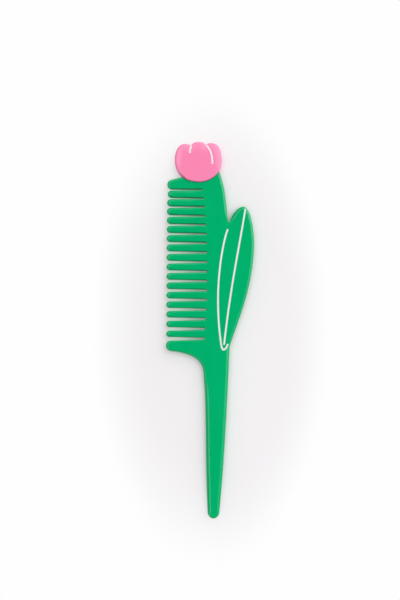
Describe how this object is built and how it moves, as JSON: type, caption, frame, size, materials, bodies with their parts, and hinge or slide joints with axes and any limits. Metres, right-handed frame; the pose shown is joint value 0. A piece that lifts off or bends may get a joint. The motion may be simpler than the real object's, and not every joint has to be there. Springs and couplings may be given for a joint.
{
  "type": "tail comb",
  "caption": "Flat plastic tail comb shaped as a tulip, with a row of blunt teeth, a leaf along its back and a bonded flower head.",
  "frame": {"origin": "under the middle of the whole comb, on the surface that it lies on", "axes": "+Z points out of the face with the lines, +Y points to the flower, and the teeth point to -X"},
  "size_m": [0.0398, 0.1698, 0.0047],
  "materials": {
    "green_plastic": "gloss",
    "pink_plastic": "gloss",
    "white_enamel": "satin",
    "clear_adhesive": "satin"
  },
  "bodies": {
    "root": {"comb_body": "green_plastic", "flower_head": "pink_plastic", "flower_bond_film": "clear_adhesive", "leaf_edge_enamel": "white_enamel", "leaf_midrib_enamel": "white_enamel", "petal_line_enamel_left": "white_enamel", "petal_line_enamel_right": "white_enamel"}
  },
  "joints": []
}
